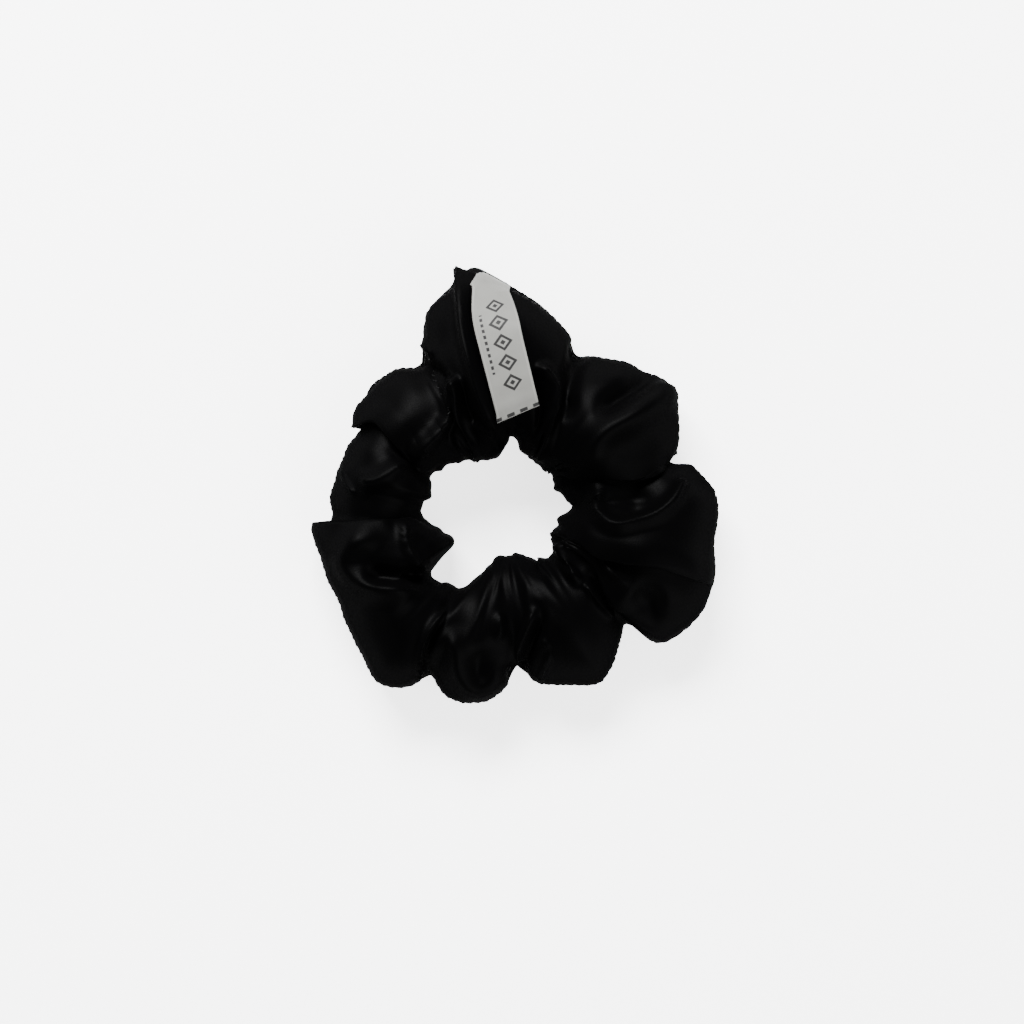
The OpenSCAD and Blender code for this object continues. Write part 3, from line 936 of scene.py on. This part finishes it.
def folded_label(p, row):
    """The ribbon, from inside the seam over the puff to its fold and back under itself.

    It returns its object and the grid of its lower layer, from the seam to the fold."""
    rings, sides = p.shape[:2]
    tree = BVHTree.FromPolygons(p.reshape(-1, 3).tolist(), grid_faces(rings, sides))
    line = curve_through(LABEL_LINE, 12)
    heading = np.gradient(line, axis=0)
    heading /= np.linalg.norm(heading, axis=1, keepdims=True)
    right = np.stack([-heading[:, 1], heading[:, 0]], axis=-1)
    plan = np.concatenate([[0], np.cumsum(np.linalg.norm(np.diff(line, axis=0), axis=1))])
    tilt = np.radians(LABEL_TILT) * (1 - smoothstep(plan, 2, 16))
    across = np.linspace(-1, 1, 15) * LABEL_WIDTH / 2
    at = line[:, None] + (across[None, :] * np.cos(tilt)[:, None])[..., None] * right[:, None]
    askew = -0.16 * smoothstep(plan, plan[-1] - 12, plan[-1])
    at += (across[None, :] * askew[:, None])[..., None] * heading[:, None]
    height = np.array([[seen_height(tree, x, y) for x, y in line_across] for line_across in at])
    dip = across[None, :] * np.sin(tilt)[:, None]
    need = (height - dip).max(axis=1) + 0.35
    lie = np.maximum(blurred(upper_hull(plan, need), 3), blurred(need, 2))
    lie = blurred(lie, 2)
    lower = np.concatenate([at, (lie[:, None] + dip)[..., None]], axis=-1)
    # The first row lies along the seam.
    seam_line = p[:, row]
    start = np.argmin(np.hypot(seam_line[:, 0] - line[0, 0], seam_line[:, 1] - line[0, 1]))
    near = np.arange(start - 40, start + 41) % rings
    seam_line, seam_up = seam_line[near], grid_normals(p)[near, row]
    run = np.concatenate([[0], np.cumsum(np.linalg.norm(np.diff(seam_line, axis=0), axis=1))])
    run -= run[40]
    root = np.stack([np.interp(-across, run, seam_line[:, k]) for k in range(3)], axis=-1)
    even_up = [blurred(seam_up[:, k], 6) for k in range(3)]
    root_up = np.stack([np.interp(-across, run, up) for up in even_up], axis=-1)
    root += 0.1 * root_up
    lower += (1 - smoothstep(plan, 0, 7))[:, None, None] * (root - lower[0])
    lower = clear_of(tree, lower, 0.35, 0.9 + 5 * smoothstep(plan, 5, 24), 8)
    # A fold of the satin lies over the left corner of its root.
    under = 0.8 * (-1.2 - across[None, :]) - plan[:, None]
    for i, k in zip(*np.where(under > -0.6)):
        place, up, _, _ = tree.find_nearest(Vector(lower[i, k]))
        depth = 1.2 * smoothstep(under[i, k], -0.6, 0.8)
        gap = (Vector(lower[i, k]) - place).dot(up)
        lower[i, k] -= np.array(up) * depth * (gap + 0.9)
    lift = -np.cross(np.gradient(lower, axis=0), np.gradient(lower, axis=1))
    lift /= np.linalg.norm(lift, axis=2, keepdims=True)
    lift *= np.sign(lift[..., 2].mean())
    bulge = 0.35 * np.sin(np.pi * np.clip(plan / plan[-1], 0, 1)) ** 0.6 + 0.12
    bulge += 0.3 * np.exp(-(((plan - plan[-1] + 2.6) / 1.4) ** 2))
    edge = 1 - 0.25 * (across / across[-1]) ** 2
    upper = lower + lift * (0.3 + bulge[:, None, None] * edge[None, :, None])
    tip, top = lower[-1], upper[-1]
    turn = np.linspace(0, np.pi, 7)[1:-1]
    middle, half = (tip + top) / 2, (top - tip) / 2
    out = np.array([*heading[-1], -0.15]) * np.linalg.norm(half, axis=1).mean() * 1.3
    bend = [middle + half * np.cos(t) + out * np.sin(t) for t in turn]
    sink = -root_up.mean(axis=0)
    inside = [upper[0] + sink * d for d in (2.8, 1.4)]
    back = [lower[0] + sink * d for d in (1.4, 2.8)]
    ribbon = np.array([*inside, *upper, *bend, *lower[::-1], *back])
    steps = np.linalg.norm(np.diff(ribbon[:, 7], axis=0), axis=1)
    s = np.concatenate([[0], np.cumsum(steps)])
    s += LABEL_VISIBLE - s[1 + len(upper)]
    n, m = ribbon.shape[:2]
    faces = [
        (i * m + k, i * m + k + 1, (i + 1) * m + k + 1, (i + 1) * m + k)
        for i in range(n - 1)
        for k in range(m - 1)
    ]
    obj = linked_object("folded_label", ribbon, faces)
    mesh = obj.data
    uv = mesh.uv_layers.new(name="ribbon")
    ids = np.empty(len(mesh.loops), int)
    mesh.loops.foreach_get("vertex_index", ids)
    uv.data.foreach_set("uv", np.stack([s[ids // m], across[ids % m]], axis=-1).ravel() / 100)
    return obj, lower


label, label_back = folded_label(points, SEAM_ROW)
label.data.materials.append(RIBBON)
thick = label.modifiers.new("thickness", "SOLIDIFY")
thick.thickness = RIBBON_THICKNESS * MM
thick.offset = 0
# Its row nearest to the hinge, and points a little before and after it up the label.
LABEL_HINGE = (-4.26, 58.06, 18.58)
BEND_BEFORE, BEND_AFTER = 1.2, 3.3  # mm on each side of that row
rows = label_back.mean(axis=1)
nearest = max(1, np.argmin(np.linalg.norm(rows - LABEL_HINGE, axis=1)))
sewn = label_back[nearest, -1] - label_back[nearest, 0]
sewn /= np.linalg.norm(sewn)
rising = rows[nearest + 3] - rows[nearest - 1]
rising -= (rising @ sewn) * sewn
rising /= np.linalg.norm(rising)
finished(
    label,
    ("woven_label", "label_ends"),
    "label",
    "far_half",
    "label_flap",
    start=tuple((rows[nearest] - BEND_BEFORE * rising) * MM),
    end=tuple((rows[nearest] + BEND_AFTER * rising) * MM),
)

# ---- Stage ----

floor = square("floor", FLOOR_HALF)
paper, _, _, paper_bsdf = material("floor_paper")
paper_bsdf.inputs["Base Color"].default_value = (0.45, 0.452, 0.455, 1)
paper_bsdf.inputs["Roughness"].default_value = 0.9
paper_bsdf.inputs["Specular IOR Level"].default_value = 0.1
paper_bsdf.inputs["Emission Color"].default_value = (1, 1, 1, 1)
paper_bsdf.inputs["Emission Strength"].default_value = 2.6
floor.data.materials.append(paper)
floor.location.z = -0.0001


def area_light(name, place, target, size, power_w):
    """A rectangular light aimed at the target."""
    light = bpy.data.lights.new(name, "AREA")
    light.shape = "RECTANGLE"
    light.size, light.size_y = size
    light.energy = power_w
    obj = bpy.data.objects.new(name, light)
    bpy.context.collection.objects.link(obj)
    obj.location = place
    obj.rotation_euler = (Vector(target) - Vector(place)).to_track_quat("-Z", "Y").to_euler()
    return obj


KEY_POWER_W = 130
WORLD_STRENGTH = 3.0
SOFTBOX_STRENGTH = 14.0
area_light("key", (-0.25, 0.8, 0.75), (0, 0, 0), (0.7, 0.35), KEY_POWER_W)

# A white room, dark overhead where the photographer stands, and brighter in front of the object.
world = bpy.data.worlds.new("studio")
bpy.context.scene.world = world
world.use_nodes = True
wn, wl = world.node_tree.nodes, world.node_tree.links
direction = wn.new("ShaderNodeTexCoord").outputs["Generated"]
parts = wn.new("ShaderNodeSeparateXYZ")
wl.new(direction, parts.inputs["Vector"])
overhead = map_range(wn, wl, parts.outputs["Z"], 0.5, 0.92, 1.0, 0.02)
in_front = map_range(wn, wl, parts.outputs["Y"], -1, 1, 1.25, 0.75)
strength = math_node(wn, wl, "MULTIPLY", overhead, in_front)
strength = math_node(wn, wl, "MULTIPLY", strength, WORLD_STRENGTH)
# A softbox low on the right, in front.
box = wn.new("ShaderNodeVectorMath")
box.operation = "DOT_PRODUCT"
wl.new(direction, box.inputs[0])
box.inputs[1].default_value = Vector((0.6, -0.5, 0.62)).normalized()
glow = map_range(wn, wl, box.outputs["Value"], 0.8, 0.99, 0.0, SOFTBOX_STRENGTH)
strength = math_node(wn, wl, "ADD", strength, glow)
wl.new(strength, wn["Background"].inputs["Strength"])
wn["Background"].inputs["Color"].default_value = (1, 1, 1, 1)

camera_data = bpy.data.cameras.new("camera")
camera = bpy.data.objects.new("camera", camera_data)
bpy.context.collection.objects.link(camera)
VIEW_WIDTH = 0.2498  # metres across the picture at the height of AIM
AIM = (0.0022, 0.0002, 0.012)
camera_data.lens = 90
camera_data.sensor_width = 36
distance = VIEW_WIDTH * camera_data.lens / camera_data.sensor_width
camera.location = (AIM[0], AIM[1], AIM[2] + distance)
camera_data.clip_start = 0.01
bpy.context.scene.camera = camera
